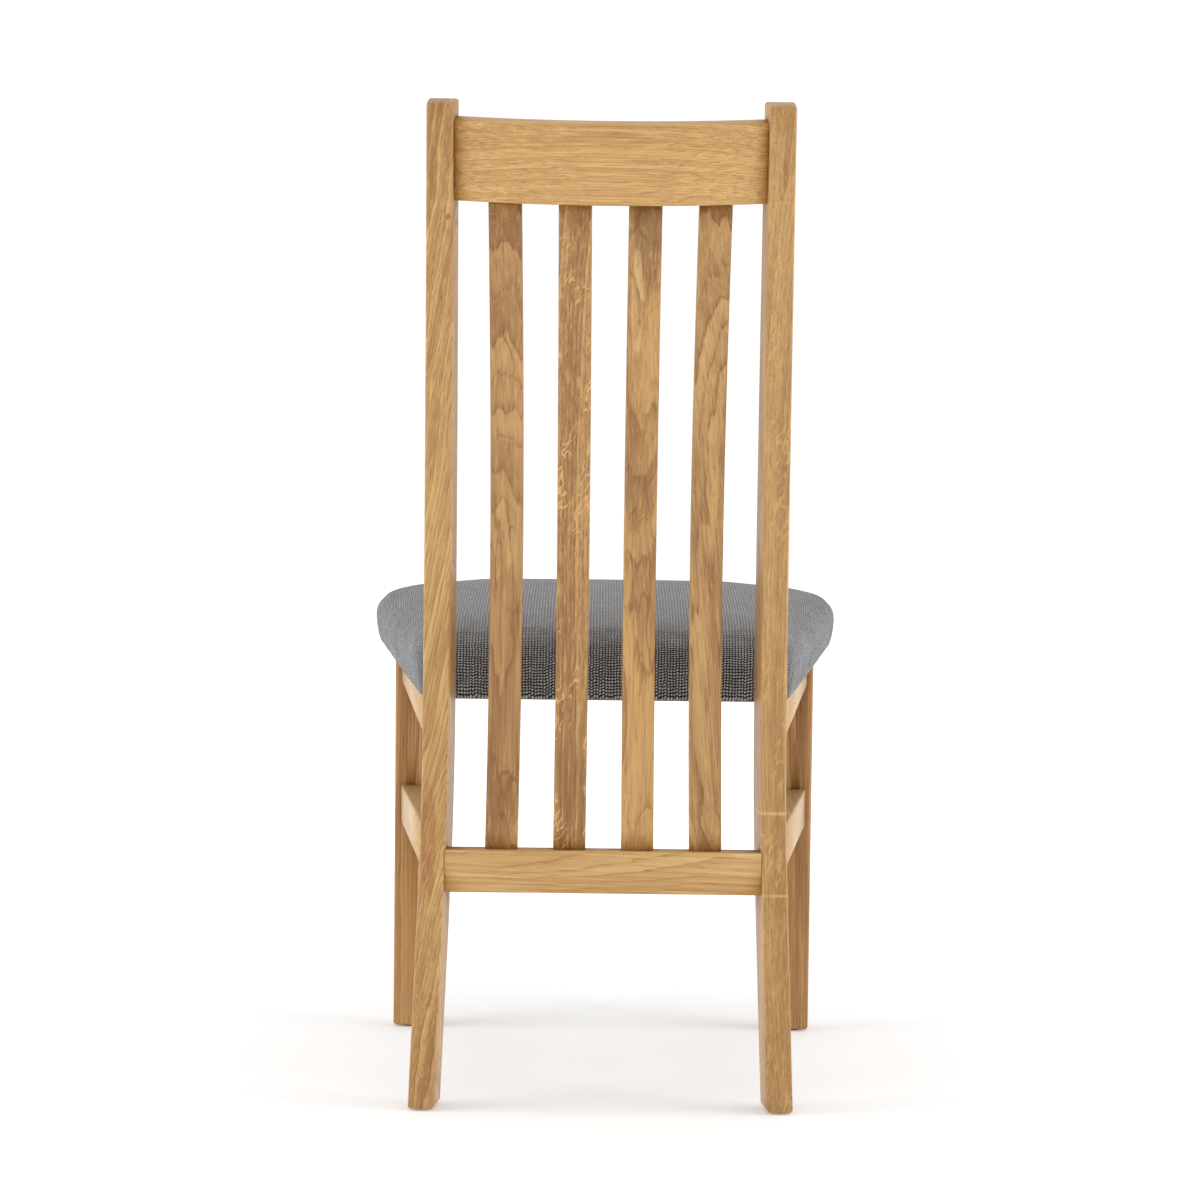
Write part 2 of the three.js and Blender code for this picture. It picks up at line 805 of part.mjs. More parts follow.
function cornerBlock(side) {
  const railY = frontRailRearY();
  const legX = legInnerX() - fitGap;
  const legY = frontLegBackY + fitGap;
  const farX = legX - blockReach;
  const farY = legY + blockReach;
  const railX = (y) => {
    const heights = [blockLowZ, blockLowZ + blockThickness];
    return Math.min(...heights.map((z) => sideInnerX(y, z))) - fitGap;
  };
  const outline = [
    [farX, railY],
    [legX, railY],
    [legX, legY],
    [railX(legY), legY],
    [railX(farY), farY],
    [railX(farY) - blockTip, farY],
    [farX, railY + blockTip],
  ];
  const shape = new THREE.Shape(outline.map(([x, y]) => new THREE.Vector2(side * x, y)));
  return new THREE.ExtrudeGeometry(shape, { depth: blockThickness, bevelEnabled: false, steps: 1 })
    .translate(0, 0, blockLowZ);
}

// Screw whose head sits under the origin, its shank along +Z.
function screwBody(length) {
  return turned([
    [0, -screwHeadHeight],
    [screwHeadRadius - 0.8, -screwHeadHeight],
    [screwHeadRadius, -screwHeadHeight + 0.8],
    [screwHeadRadius, 0],
    [screwRadius, 0],
    [screwRadius, length - 2],
    [0, length],
  ], [0, 0, 0], 16);
}

// Its hole, with a pocket that lets the head in from outside.
function screwHole(length) {
  return turned([
    [0, -headPocket],
    [screwHeadRadius + fitGap, -headPocket],
    [screwHeadRadius + fitGap, fitGap],
    [screwRadius + fitGap, fitGap],
    [screwRadius + fitGap, length - 2],
    [0, length + fitGap],
  ], [0, 0, 0], 16);
}

for (const [label, side] of sides) {
  solids[`corner_block_${label}`] = toManifold(cornerBlock(side));
}

// Screws up through the corner blocks and the cross rail hold the seat board.
const seatScrews = [
  {
    end: 'front',
    holder: (label) => `corner_block_${label}`,
    x: legInnerX() - seatScrewFromLeg,
    y: frontLegBackY + seatScrewFromLeg,
    headZ: blockLowZ,
  },
  {
    end: 'rear',
    holder: () => 'seat_cross_rail',
    x: rearSeatScrewX,
    y: crossRailY,
    headZ: crossRailSection().z - crossRailHeight / 2 - screwHeadHeight / 2,
  },
];
for (const { end, holder, x, y, headZ } of seatScrews) {
  const length = padPlaneZ(y) + coverThickness + screwBite - headZ;
  for (const [label, side] of sides) {
    const place = (geometry) => toManifold(geometry.translate(side * x, y, headZ - fitGap));
    solids[`seat_screw_${end}_${label}`] = place(screwBody(length));
    const hole = place(screwHole(length));
    for (const cut of [holder(label), 'seat_board', 'dust_cover']) {
      solids[cut] = solids[cut].subtract(hole);
    }
  }
}

// Two screws pull each corner block against its rails.
const blockMidZ = blockLowZ + blockThickness / 2;
const blockSideY = frontLegBackY + blockScrewAlong;
const blockScrews = [
  {
    letter: 'a',
    into: () => 'front_seat_rail',
    direction: [0, -1, 0],
    place: [legInnerX() - blockScrewAlong, frontRailRearY() + blockScrewHead, blockMidZ],
  },
  {
    letter: 'b',
    into: (label) => `side_seat_rail_${label}`,
    direction: [1, 0, 0],
    place: [sideInnerX(blockSideY, blockMidZ) - blockScrewHead, blockSideY, blockMidZ],
  },
];
for (const { letter, into, direction, place: [x, y, z] } of blockScrews) {
  for (const [label, side] of sides) {
    const way = new THREE.Vector3(...direction).multiply(new THREE.Vector3(side, 1, 1));
    const turn = new THREE.Quaternion().setFromUnitVectors(new THREE.Vector3(0, 0, 1), way);
    const put = (geometry) => toManifold(geometry.applyQuaternion(turn).translate(side * x, y, z));
    solids[`block_screw_${label}_${letter}`] = put(screwBody(blockScrewLength));
    const hole = put(screwHole(blockScrewLength));
    for (const cut of [into(label), `corner_block_${label}`]) {
      solids[cut] = solids[cut].subtract(hole);
    }
  }
}

// ------------------------------------------------------------- materials
const finishes = {
  oak: { color: 0xc79a63, roughness: 0.45, metalness: 0 },
  oakInside: { color: 0xb98d5a, roughness: 0.5, metalness: 0 },
  pine: { color: 0xd8bd8c, roughness: 0.7, metalness: 0 },
  plywood: { color: 0xc9ad7c, roughness: 0.75, metalness: 0 },
  foam: { color: 0xe8dfb8, roughness: 0.95, metalness: 0 },
  cloth: { color: 0x77787a, roughness: 0.95, metalness: 0 },
  dust: { color: 0x222222, roughness: 0.95, metalness: 0 },
  plastic: { color: 0x3a2a20, roughness: 0.5, metalness: 0 },
  steel: { color: 0xb8bcc0, roughness: 0.35, metalness: 1 },
};

function finishOf(name) {
  const rules = [
    ['corner_block', 'pine'],
    ['seat_board', 'plywood'],
    ['seat_foam', 'foam'],
    ['seat_cover', 'cloth'],
    ['dust_cover', 'dust'],
    ['foot_glide', 'plastic'],
    ['screw', 'steel'],
    ['cross_rail', 'oakInside'],
  ];
  const found = rules.find(([word]) => name.includes(word));
  return finishes[found ? found[1] : 'oak'];
}

const group = new THREE.Group();
group.name = 'dining_chair';
for (const [name, solid] of Object.entries(solids)) {
  const mesh = new THREE.Mesh(fromManifold(solid), new THREE.MeshStandardMaterial(finishOf(name)));
  mesh.name = name;
  group.add(mesh);
}

export default group;
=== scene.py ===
import math

import bpy
import numpy as np
from mathutils import Euler, Matrix, Vector


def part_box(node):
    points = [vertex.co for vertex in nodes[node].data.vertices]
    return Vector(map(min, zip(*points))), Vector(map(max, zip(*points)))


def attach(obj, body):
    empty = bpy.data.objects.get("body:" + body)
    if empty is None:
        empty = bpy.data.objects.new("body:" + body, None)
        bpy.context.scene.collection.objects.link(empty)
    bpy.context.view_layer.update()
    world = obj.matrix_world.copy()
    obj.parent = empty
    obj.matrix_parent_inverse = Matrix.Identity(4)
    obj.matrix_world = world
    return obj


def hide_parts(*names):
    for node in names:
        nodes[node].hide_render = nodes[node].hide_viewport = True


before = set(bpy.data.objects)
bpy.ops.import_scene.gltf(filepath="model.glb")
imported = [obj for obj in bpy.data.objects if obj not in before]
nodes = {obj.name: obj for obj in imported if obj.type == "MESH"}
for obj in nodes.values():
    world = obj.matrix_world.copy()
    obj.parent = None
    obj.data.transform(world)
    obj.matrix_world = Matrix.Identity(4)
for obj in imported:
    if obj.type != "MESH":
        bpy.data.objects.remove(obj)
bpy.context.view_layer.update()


# ---------------------------------------------------------------- node helpers
class Wiring:
    """Short calls for adding and joining shader nodes in one tree."""

    def __init__(self, tree):
        self.tree = tree

    def feed(self, sockets, values):
        """Joins or sets several sockets by name or number."""
        for key, value in values.items():
            if isinstance(value, bpy.types.NodeSocket):
                self.tree.links.new(value, sockets[key])
            else:
                sockets[key].default_value = value

    def add(self, kind, inputs=None, **settings):
        node = self.tree.nodes.new(kind)
        for name, value in settings.items():
            setattr(node, name, value)
        self.feed(node.inputs, inputs or {})
        return node

    def math(self, operation, *values, clamp=False):
        inputs = dict(enumerate(values))
        return self.add("ShaderNodeMath", inputs, operation=operation, use_clamp=clamp).outputs[0]

    def plus(self, first, second):
        return self.math("ADD", first, second)

    def minus(self, first, second):
        return self.math("SUBTRACT", first, second)

    def times(self, first, second, clamp=False):
        return self.math("MULTIPLY", first, second, clamp=clamp)

    def centred(self, value):
        """A value that ran from 0 to 1, moved to lie around 0."""
        return self.minus(value, 0.5)

    def vector(self, operation, *values):
        node = self.add("ShaderNodeVectorMath", dict(enumerate(values)), operation=operation)
        return node.outputs["Value" if operation == "LENGTH" else "Vector"]

    def noise(self, vector, scale, detail, rough):
        inputs = {"Vector": vector, "Scale": scale, "Detail": detail, "Roughness": rough}
        return self.add("ShaderNodeTexNoise", inputs).outputs["Fac"]

    def chance(self, number):
        """A random share from 0 to 1, the same wherever the number is the same."""
        return self.add("ShaderNodeTexWhiteNoise", {"W": number}, noise_dimensions="1D").outputs["Value"]

    def between(self, value, low, high, soft=True):
        """Runs from 0 at low to 1 at high and stays level beyond them; low may be the larger."""
        inputs = {"Value": value, "From Min": low, "From Max": high}
        kind = "SMOOTHSTEP" if soft else "LINEAR"
        return self.add("ShaderNodeMapRange", inputs, interpolation_type=kind).outputs["Result"]

    # the Mix node keeps its numbers in sockets 2 and 3, and its colours in 6 and 7
    def blend(self, factor, first, second):
        """A number between two others."""
        return self.add("ShaderNodeMix", {0: factor, 2: first, 3: second}, data_type="FLOAT").outputs[0]

    def mix(self, factor, first, second, blend="MIX"):
        """A colour between two others."""
        first, second = [(*c, 1.0) if isinstance(c, tuple) else c for c in (first, second)]
        inputs = {0: factor, 6: first, 7: second}
        return self.add("ShaderNodeMix", inputs, data_type="RGBA", blend_type=blend).outputs[2]

    def split(self, vector):
        return tuple(self.add("ShaderNodeSeparateXYZ", {0: vector}).outputs)

    def join(self, x, y, z):
        return self.add("ShaderNodeCombineXYZ", {0: x, 1: y, 2: z}).outputs[0]

    def place(self, kind="Object"):
        return self.add("ShaderNodeTexCoord").outputs[kind]

    def bump(self, height, strength, distance):
        inputs = {"Height": height, "Strength": strength, "Distance": distance}
        return self.add("ShaderNodeBump", inputs).outputs["Normal"]

    def group(self, tree, **inputs):
        return self.add("ShaderNodeGroup", inputs, node_tree=tree).outputs


def new_group(name, inputs, outputs):
    """An empty node group: its wiring, what it is given and what it puts out.

    inputs maps each name to its usual value, or to None for a vector.
    """
    tree = bpy.data.node_groups.new(name, "ShaderNodeTree")
    for label, value in inputs.items():
        kind = "NodeSocketVector" if value is None else "NodeSocketFloat"
        socket = tree.interface.new_socket(label, in_out="INPUT", socket_type=kind)
        if value is not None:
            socket.default_value = value
    for label in outputs:
        tree.interface.new_socket(label, in_out="OUTPUT", socket_type="NodeSocketFloat")
    wires = Wiring(tree)
    entry = wires.add("NodeGroupInput")
    leave = wires.add("NodeGroupOutput")
    return wires, entry.outputs, leave.inputs


def new_material(name):
    """A material, its wiring and the inputs of its shader."""
    material = bpy.data.materials.new(name)
    material.use_nodes = True
    shader = material.node_tree.nodes["Principled BSDF"]
    return material, Wiring(material.node_tree), shader.inputs


# ---------------------------------------------------------------- oak
# turns that stand a board's grain upright, along Z
GRAIN_UP = (0.0, 0.0, 0.0)
GRAIN_ACROSS = (0.0, -math.pi / 2, 0.0)
GRAIN_FORWARD = (math.pi / 2, 0.0, 0.0)

# noise drawn out along the grain: cells per metre across it, then along it
SWAY_CELLS, RIPPLE_CELLS, JAG_CELLS = (11.0, 2.2), (60.0, 9.0), (240.0, 34.0)
GAP_CELLS, PORE_CELLS, FIBRE_CELLS = (700.0, 26.0), (880.0, 34.0), (430.0, 6.0)
TONE_CELLS, STAIN_EDGE_CELLS = (28.0, 2.6), (130.0, 24.0)
MARK_CELLS, MARKED_AREA_CELLS = (34.0, 5.0), (21.0, 6.0)
RAY_CELLS, FLECKED_AREA_CELLS = (150.0, 40.0), (60.0, 16.0)

# growth rings: how they bend, how their early wood fades, and its gaps
SWAY_SHARE, JAG_SIZE = 5.0, 0.0011
RING_FALL, RING_ONSET = 5.0, 0.08
GAP_EDGES, GAP_LEAVES, GAP_GIVES = (0.36, 0.58), 0.65, 0.5
YEAR_SHARE, CLOUD_SHARE = 0.25, 0.75

# pores crowd where a ring begins; marks, rays and stains have their own edges
PORE_LEVEL, PORE_CROWDING, PORE_EDGE = 0.60, 0.14, 0.10
MARK_EDGES, MARKED_EDGES = (0.012, 0.002), (0.48, 0.58)
RAY_LEAN, RAY_EDGES, FLECKED_EDGES = (0.45, 0.2, 0.0), (0.045, 0.015), (0.52, 0.60)
STAIN_EDGES = (1.0, 0.72)


def drawn_out(wires, vector, cells, detail=2.0, rough=0.5):
    """Noise stretched along Z."""
    across, along = cells
    stretched = wires.vector("MULTIPLY", vector, (across, across, along))
    return wires.noise(stretched, 1.0, detail, rough)


def make_grain_group():
    """Growth rings, pores, fibres, dark marks and ray flecks of an oak board.

    The grain runs along Z and the pith stands at the origin, so a board's place in
    the log decides its figure. Early is 1 where a ring begins and fades across it.
    """
    wires, given, result = new_group(
        "oak_board",
        {"Vector": None, "Ring": 0.003, "Wander": 0.004, "Seed": 0.0},
        ("Early", "Tone", "Pore", "Fibre", "Mark", "Ray"),
    )
    place = given["Vector"]
    seed = wires.join(given["Seed"], given["Seed"], given["Seed"])
    shifted = wires.vector("ADD", place, seed)

    def streaks(cells, detail=2.0, rough=0.5):
        return drawn_out(wires, shifted, cells, detail, rough)

    x, y, along_z = wires.split(place)
    radius = wires.vector("LENGTH", wires.join(x, y, 0.0))
    sway = wires.centred(streaks(SWAY_CELLS, detail=1.0))
    ripple = wires.centred(streaks(RIPPLE_CELLS))
    jag = wires.times(wires.centred(streaks(JAG_CELLS)), JAG_SIZE)
    bend = wires.plus(wires.times(sway, SWAY_SHARE), ripple)
    bend = wires.plus(wires.times(bend, given["Wander"]), jag)
    phase = wires.math("DIVIDE", wires.plus(radius, bend), given["Ring"])

    spent = wires.math("FRACT", phase)
    early = wires.math("POWER", wires.minus(1.0, spent), RING_FALL)
    early = wires.times(early, wires.between(spent, 0.0, RING_ONSET))
    unbroken = wires.between(streaks(GAP_CELLS, detail=3.0, rough=0.6), *GAP_EDGES)
    early = wires.times(early, wires.plus(GAP_LEAVES, wires.times(unbroken, GAP_GIVES)))

    year = wires.chance(wires.math("FLOOR", phase))
    tone = wires.times(year, YEAR_SHARE)
    tone = wires.plus(tone, wires.times(streaks(TONE_CELLS, detail=3.0), CLOUD_SHARE))

    threshold = wires.minus(PORE_LEVEL, wires.times(early, PORE_CROWDING))
    above = wires.minus(streaks(PORE_CELLS, rough=0.6), threshold)
    pore = wires.between(above, 0.0, PORE_EDGE)
    fibre = streaks(FIBRE_CELLS, detail=4.0, rough=0.7)

    ridge = wires.math("ABSOLUTE", wires.centred(streaks(MARK_CELLS)))
    thin_line = wires.between(ridge, *MARK_EDGES)
    marked_area = wires.between(streaks(MARKED_AREA_CELLS, detail=1.0), *MARKED_EDGES)
    mark = wires.times(thin_line, marked_area)

    lean = wires.vector("MULTIPLY", wires.join(along_z, along_z, 0.0), RAY_LEAN)
    leaning = wires.vector("ADD", shifted, lean)
    curl = wires.math("ABSOLUTE", wires.centred(drawn_out(wires, leaning, RAY_CELLS, detail=1.5)))
    flecked = wires.between(streaks(FLECKED_AREA_CELLS, detail=1.0), *FLECKED_EDGES)
    ray = wires.times(wires.between(curl, *RAY_EDGES), flecked)

    wires.feed(result, {"Early": early, "Tone": tone, "Pore": pore, "Fibre": fibre,
                        "Mark": mark, "Ray": ray})
    return wires.tree


def make_stain_group():
    """A soft-edged stain in the wood, with a border ragged along Z."""
    wires, given, result = new_group(
        "stain_in_wood",
        {"Vector": None, "Centre": None, "Size": None, "Ragged": 0.35},
        ("Mask",),
    )
    offset = wires.vector("SUBTRACT", given["Vector"], given["Centre"])
    offset = wires.vector("DIVIDE", offset, given["Size"])
    edge = drawn_out(wires, given["Vector"], STAIN_EDGE_CELLS, detail=3.0, rough=0.6)
    reach = wires.vector("LENGTH", offset)
    reach = wires.plus(reach, wires.times(wires.centred(edge), given["Ragged"]))
    wires.feed(result, {"Mask": wires.between(reach, *STAIN_EDGES)})
    return wires.tree


GRAIN = make_grain_group()
STAIN = make_stain_group()


def board_place(wires, centre, lay, pith, tilt):
    """Object coordinates turned so that the grain runs along Z, with the pith at the origin."""
    turn = Euler(tilt).to_matrix() @ Euler(lay).to_matrix()
    pith_line = Vector((pith[0], pith[1], 0.0)) - turn @ Vector(centre)
    inputs = {"Vector": wires.place(), "Rotation": turn.to_euler(), "Location": pith_line}
    return wires.add("ShaderNodeMapping", inputs, vector_type="POINT").outputs["Vector"]


def shade(red, green, blue):
    """A screen colour, 0 to 255, as the light it stands for."""
    return tuple(((c / 255 + 0.055) / 1.055) ** 2.4 for c in (red, green, blue))


def tinted(colour, tint):
    return tuple(share * c for share, c in zip(tint, colour))


HONEY, TOFFEE = shade(203, 164, 114), shade(168, 122, 76)
LACQUER = (0.935, 0.905, 0.72)
# a board's dark colour is tinted for its pores and marks, and for its rings and dark fibres
DEEP_TINT, LINE_TINT = (0.72, 0.50, 0.32), (0.94, 0.76, 0.55)
# its pale colour is made lighter, up to a limit, for its light fibres and rays
LIGHTER, LIGHTEST = 1.28, 0.9
# how the tone goes from dark to pale, and the share of pale laid evenly over both
TONE_EDGES, EVENED = (0.25, 0.72), 0.15
DARK_FIBRE_EDGES, LIGHT_FIBRE_EDGES = (0.52, 0.34), (0.50, 0.68)
OAK_ROUGH, FIBRE_ROUGH, PORE_ROUGH = 0.40, 0.12, 0.2
OAK_GLOSS = {"Specular IOR Level": 0.4, "Coat Weight": 0.22, "Coat Roughness": 0.30}
FIBRE_HEIGHT, OAK_BUMP, OAK_BUMP_DEPTH = 0.35, 0.25, 0.0003


def oak(name, centre, lay=GRAIN_UP, pith=(0.09, 0.02), tilt=(0.02, 0.01, 0.0), ring=0.0032,
        wander=0.003, pale=HONEY, dark=TOFFEE, lines=0.6, pores=0.5, fibres=0.4, marks=0.0,
        rays=0.0, seed=0.0, stains=()):
    """A lacquered oak board. stains lists (place, size, colour, strength)."""
    material, wires, shader = new_material(name)
    place = board_place(wires, centre, lay, pith, tilt)
    grain = wires.group(GRAIN, Vector=place, Ring=ring, Wander=wander, Seed=seed)
    deep, line = tinted(dark, DEEP_TINT), tinted(dark, LINE_TINT)
    light = tuple(min(LIGHTEST, LIGHTER * c) for c in pale)

    body = wires.mix(wires.between(grain["Tone"], *TONE_EDGES), dark, pale)
    body = wires.mix(EVENED, body, pale)
    object_place = wires.place()
    for where, size, colour, strength in stains:
        mask = wires.group(STAIN, Vector=object_place, Centre=where, Size=size)["Mask"]
        body = wires.mix(wires.times(mask, strength), body, colour)
    body = wires.mix(wires.times(grain["Early"], lines, clamp=True), body, line)
    for edges, colour in ((DARK_FIBRE_EDGES, line), (LIGHT_FIBRE_EDGES, light)):
        body = wires.mix(wires.times(wires.between(grain["Fibre"], *edges), fibres), body, colour)
    for part, strength, colour in (("Pore", pores, deep), ("Mark", marks, deep), ("Ray", rays, light)):
        body = wires.mix(wires.times(grain[part], strength), body, colour)
    body = wires.mix(1.0, body, LACQUER, blend="MULTIPLY")

    rough = wires.plus(OAK_ROUGH, wires.times(grain["Fibre"], FIBRE_ROUGH))
    rough = wires.plus(rough, wires.times(grain["Pore"], PORE_ROUGH))
    height = wires.minus(wires.times(grain["Fibre"], FIBRE_HEIGHT), grain["Pore"])
    normal = wires.bump(height, OAK_BUMP, OAK_BUMP_DEPTH)
    wires.feed(shader, {"Base Color": body, "Roughness": rough, "Normal": normal, **OAK_GLOSS})
    return material


# ---------------------------------------------------------------- wooden pieces
WELD_WITHIN, SMOOTH_BELOW = 0.00002, math.radians(38.0)


def only(item):
    """Selects just this object and makes it active."""
    bpy.ops.object.select_all(action="DESELECT")
    item.select_set(True)
    bpy.context.view_layer.objects.active = item


def smooth_copy(node, name):
    """A welded copy of a CAD node with smooth faces, in its own mesh and without a material."""
    piece = bpy.data.objects.new(name, nodes[node].data.copy())
    bpy.context.scene.collection.objects.link(piece)
    only(piece)
    bpy.ops.object.mode_set(mode="EDIT")
    bpy.ops.mesh.select_all(action="SELECT")
    bpy.ops.mesh.remove_doubles(threshold=WELD_WITHIN)
    bpy.ops.mesh.tris_convert_to_quads()
    bpy.ops.object.mode_set(mode="OBJECT")
    bpy.ops.object.shade_smooth_by_angle(angle=SMOOTH_BELOW)
    piece.data.materials.clear()
    return piece


def finish_piece(piece, material, slot_name, *stands_for):
    piece.data.materials.append(material)
    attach(piece, "root")
    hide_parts(*stands_for)


def centre_of(node):
    low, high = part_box(node)
    return (low + high) / 2


def at(node, x, z, depth=1.0):
    """A point of a node from shares of its box; depth 1 is its rear face."""
    low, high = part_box(node)
    return tuple(low[i] + (high[i] - low[i]) * share for i, share in enumerate((x, depth, z)))


RUST, UMBER, STRAW = shade(160, 105, 62), shade(146, 108, 72), shade(214, 178, 130)
# paler colours for the side rails and side stretchers: a painted reflection of the side lights on their
# outer faces
PAINTED_REFLECTION_PALE, PAINTED_REFLECTION_LINE = shade(206, 174, 134), shade(178, 140, 100)
SLAT_PALE, SLAT_DARK = shade(198, 157, 108), shade(140, 98, 58)

WOOD = {
    # node: (slot, settings of its board)
    "top_rail": ("oak_top_rail", dict(
        lay=GRAIN_ACROSS, pith=(0.45, 0.10), tilt=(0.0, 0.006, 0.0), ring=0.0024, wander=0.0010,
        lines=0.8, pores=0.65, fibres=0.50, rays=0.15, pale=shade(211, 173, 122),
        dark=shade(184, 140, 90), seed=3.1)),
    "lower_back_rail": ("oak_low_rail", dict(
        lay=GRAIN_ACROSS, pith=(0.026, 0.055), tilt=(0.015, 0.03, 0.0), ring=0.0029, wander=0.0046,
        lines=0.95, pores=0.40, fibres=0.40, pale=shade(212, 176, 126), dark=shade(182, 140, 90),
        seed=5.7)),
    "rear_post_left": ("oak_post_left", dict(
        pith=(0.15, -0.05), tilt=(0.03, 0.20, 0.0), ring=0.0038, wander=0.013, lines=1.0,
        pores=0.3, fibres=0.35, marks=0.2, pale=shade(208, 169, 117), dark=shade(152, 108, 64),
        seed=1.3,
        stains=[(at("rear_post_left", 0.2, 0.885), (0.0030, 0.2, 0.0040), RUST, 0.9),
                (at("rear_post_left", 0.62, 0.27), (0.010, 0.2, 0.075), RUST, 0.6)])),
    "rear_post_right": ("oak_post_right", dict(
        pith=(0.10, 0.03), tilt=(0.01, -0.02, 0.0), ring=0.0036, wander=0.004, lines=0.65,
        pores=0.4, fibres=0.4, rays=0.4, pale=shade(200, 161, 111), dark=shade(156, 114, 72),
        seed=7.9,
        stains=[(at("rear_post_right", 0.53, 0.93), (0.003, 0.2, 0.020), RUST, 0.7),
                (at("rear_post_right", 0.50, 0.296, 0.3), (0.03, 0.2, 0.0020), STRAW, 0.9),
                (at("rear_post_right", 0.50, 0.214, 0.3), (0.03, 0.2, 0.0016), STRAW, 0.8)])),
    "back_slat_4": ("oak_slat_4", dict(
        pith=(0.012, 0.075), tilt=(0.06, 0.01, 0.0), ring=0.0052, wander=0.010, marks=0.55,
        lines=0.85, pores=0.25, pale=SLAT_PALE, dark=SLAT_DARK, seed=2.2,
        stains=[(at("back_slat_4", 0.4, 0.36), (0.014, 0.2, 0.07), UMBER, 0.5)])),
    "back_slat_3": ("oak_slat_3", dict(
        pith=(0.16, 0.010), tilt=(0.0, 0.006, 0.0), ring=0.0041, wander=0.002, rays=0.9, lines=1.0,
        pores=0.5, fibres=0.55, pale=SLAT_PALE, dark=SLAT_DARK, seed=9.4)),
    "back_slat_2": ("oak_slat_2", dict(
        pith=(0.01, -0.07), tilt=(0.05, 0.02, 0.0), ring=0.0060, wander=0.012, marks=0.45,
        lines=0.8, pores=0.25, pale=shade(203, 160, 108), dark=SLAT_DARK, seed=4.6,
        stains=[(at("back_slat_2", 0.35, 0.97), (0.018, 0.2, 0.085), UMBER, 0.85),
                (at("back_slat_2", 0.70, 0.84), (0.007, 0.2, 0.060), STRAW, 0.8)])),
    "back_slat_1": ("oak_slat_1", dict(
        pith=(0.02, 0.08), tilt=(0.05, -0.10, 0.0), ring=0.0055, wander=0.012, marks=0.5, lines=1.0,
        pores=0.3, pale=shade(201, 161, 112), dark=SLAT_DARK, seed=6.5)),
    # the front legs' pale and dark colours are set darker than the posts' as painted shade under the
    # seat
    "front_leg_left": ("oak_frame", dict(
        pith=(0.10, 0.05), tilt=(0.01, 0.01, 0.0), ring=0.0034, pale=shade(192, 148, 100),
        dark=shade(144, 101, 62), seed=8.2)),
    "front_leg_right": ("oak_frame", dict(
        pith=(-0.10, 0.03), tilt=(0.01, 0.0, 0.0), ring=0.0034, pale=shade(193, 148, 101),
        dark=shade(140, 98, 60), seed=8.9)),
    # the side rails and side stretchers are painted paler, as a painted reflection of the side lights
    "side_seat_rail_left": ("oak_frame", dict(
        lay=GRAIN_FORWARD, pith=(0.10, 0.02), pale=PAINTED_REFLECTION_PALE, dark=PAINTED_REFLECTION_LINE, seed=10.1)),
    "side_seat_rail_right": ("oak_frame", dict(
        lay=GRAIN_FORWARD, pith=(-0.08, 0.03), pale=PAINTED_REFLECTION_PALE, dark=PAINTED_REFLECTION_LINE, seed=10.8)),
    "side_stretcher_left": ("oak_frame", dict(
        lay=GRAIN_FORWARD, pith=(0.09, 0.01), pale=PAINTED_REFLECTION_PALE, dark=PAINTED_REFLECTION_LINE, seed=11.3)),
    "side_stretcher_right": ("oak_frame", dict(
        lay=GRAIN_FORWARD, pith=(-0.09, 0.04), wander=0.006, pale=PAINTED_REFLECTION_PALE, dark=PAINTED_REFLECTION_LINE,
        seed=11.9)),
    "front_seat_rail": ("oak_frame", dict(lay=GRAIN_ACROSS, pith=(0.01, 0.12), seed=12.4)),
    "seat_cross_rail": ("oak_frame", dict(lay=GRAIN_ACROSS, pith=(0.03, 0.08), seed=12.9)),
}
for node, (slot_name, board) in WOOD.items():
    piece = smooth_copy(node, "oak_" + node)
    finish_piece(piece, oak("oak_" + node, centre_of(node), **board), slot_name, node)


# ---------------------------------------------------------------- plain hidden materials
SPECKLE_DARK, SPECKLE_LIGHT, SPECKLE_ROUGH = 0.75, 1.2, 0.16
SPECKLE_BUMP, SPECKLE_DEPTH = 0.4, 0.0002


def plain(name, color, rough, metallic=0.0, grit=400.0):
    """A finely speckled material of one colour."""
    material, wires, shader = new_material(name)
    speckle = wires.noise(wires.place(), grit, detail=4.0, rough=0.6)
    darker = tuple(SPECKLE_DARK * c for c in color)
    lighter = tuple(min(1.0, SPECKLE_LIGHT * c) for c in color)
    body = wires.mix(speckle, darker, lighter)
    roughness = wires.plus(rough - SPECKLE_ROUGH / 2, wires.times(speckle, SPECKLE_ROUGH))
    normal = wires.bump(speckle, SPECKLE_BUMP, SPECKLE_DEPTH)
    wires.feed(shader, {"Base Color": body, "Roughness": roughness, "Metallic": metallic,
                        "Normal": normal})
    return material


def softwood(node):
    return oak("softwood_" + node, centre_of(node), lay=GRAIN_ACROSS, ring=0.0045, pores=0.05,
               pale=shade(222, 192, 146), dark=shade(196, 156, 106), seed=13.0)


GLIDE = plain("glide_plastic", (0.05, 0.03, 0.018), 0.45)
STEEL = plain("zinc_screw", (0.62, 0.62, 0.64), 0.32, metallic=1.0)
DUST = plain("felted_dust_cloth", (0.018, 0.018, 0.02), 0.95, grit=1400.0)
PLY = oak("seat_plywood", centre_of("seat_board"), lay=GRAIN_ACROSS, pith=(0.05, 0.3),
          pale=shade(206, 178, 134), dark=shade(180, 146, 102), seed=14.0)

for node, made in nodes.items():
    if "glide" in node:
        made.data.materials[0] = GLIDE
    elif "screw" in node:
        made.data.materials[0] = STEEL
    elif "corner_block" in node:
        made.data.materials[0] = softwood(node)
nodes["dust_cover"].data.materials[0] = DUST
nodes["seat_board"].data.materials[0] = PLY


# ---------------------------------------------------------------- padded seat
# the seat's slanting underside is found from the dust cover's front and rear points
EDGE_POINTS, PLANE_BELOW = 6, 0.0005


